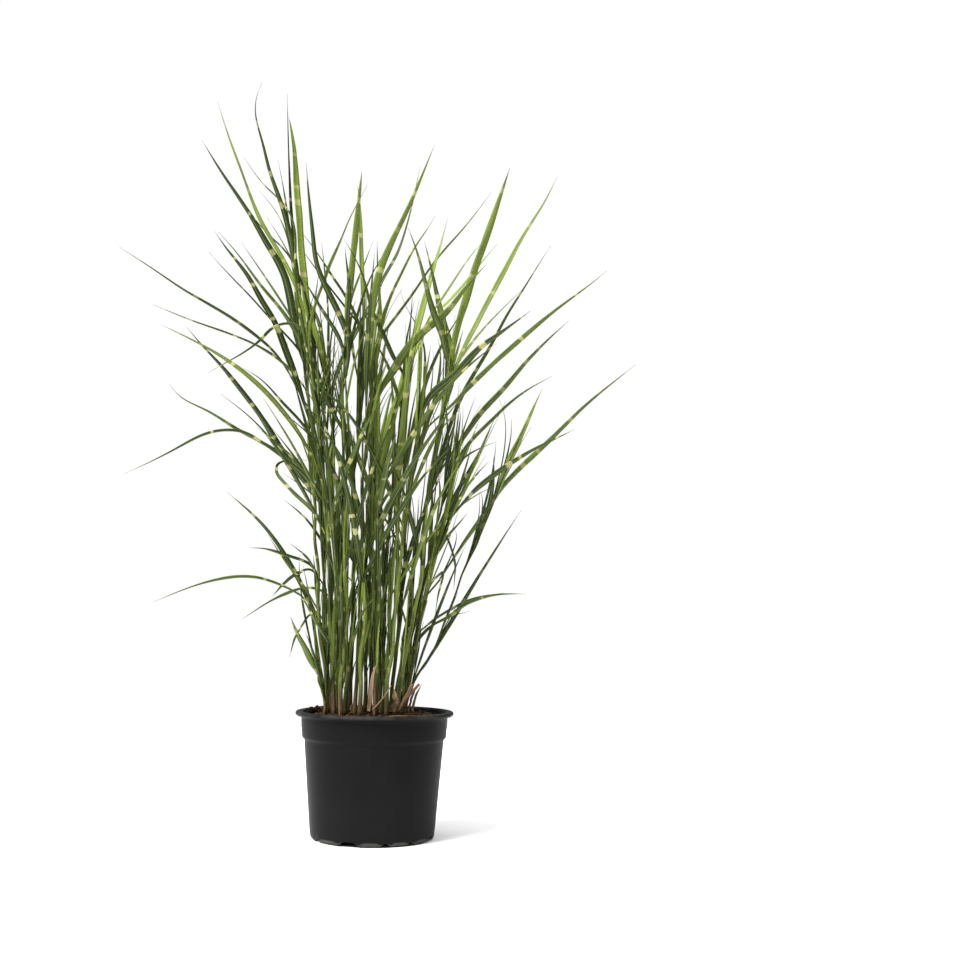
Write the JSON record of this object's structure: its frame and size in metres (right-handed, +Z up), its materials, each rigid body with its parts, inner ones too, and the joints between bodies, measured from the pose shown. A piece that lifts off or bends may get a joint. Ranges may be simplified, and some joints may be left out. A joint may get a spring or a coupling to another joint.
{
  "type": "potted ornamental grass",
  "caption": "Upright clump of zebra-banded ornamental grass with thin culms and arching narrow leaves, growing from soil in a round tapered black nursery pot.",
  "frame": {"origin": "centre of the pot on the ground, below the middle of the whole clump", "axes": "+Z up, the clump's front toward -Y, +X to the viewer's right"},
  "size_m": [0.6418, 0.524, 0.9227],
  "materials": {
    "pot": "satin",
    "soil": "matte",
    "stems": "satin",
    "leaves": "satin",
    "dry": "matte",
    "cane": "matte"
  },
  "bodies": {
    "root": {"pot": "pot", "soil": "soil", "stem_01": "stems", "stem_02": "stems", "stem_03": "stems", "stem_04": "stems", "stem_05": "stems", "stem_06": "stems", "stem_07": "stems", "stem_08": "stems", "stem_09": "stems", "stem_10": "stems", "stem_11": "stems", "stem_12": "stems", "stem_13": "stems", "stem_14": "stems", "stem_15": "stems", "stem_16": "stems", "stem_17": "stems", "stem_18": "stems", "stem_19": "stems", "stem_20": "stems", "stem_21": "stems", "stem_22": "stems", "stem_23": "stems", "stem_24": "stems", "stem_25": "stems", "stem_26": "stems", "stem_27": "stems", "leaf_01": "leaves", "leaf_02": "leaves", "leaf_03": "leaves", "leaf_04": "leaves", "leaf_05": "leaves", "leaf_06": "leaves", "leaf_07": "leaves", "leaf_08": "leaves", "leaf_09": "leaves", "leaf_10": "leaves", "leaf_11": "leaves", "leaf_12": "leaves", "leaf_13": "leaves", "leaf_14": "leaves", "leaf_15": "leaves", "leaf_16": "leaves", "leaf_17": "leaves", "leaf_18": "leaves", "leaf_19": "leaves", "leaf_20": "leaves", "leaf_21": "leaves", "leaf_22": "leaves", "leaf_23": "leaves", "leaf_24": "leaves", "leaf_25": "leaves", "leaf_26": "leaves", "leaf_27": "leaves", "dry_sheath": "dry", "dry_straw": "dry", "dry_husk": "dry", "cut_cane": "cane"}
  },
  "joints": []
}
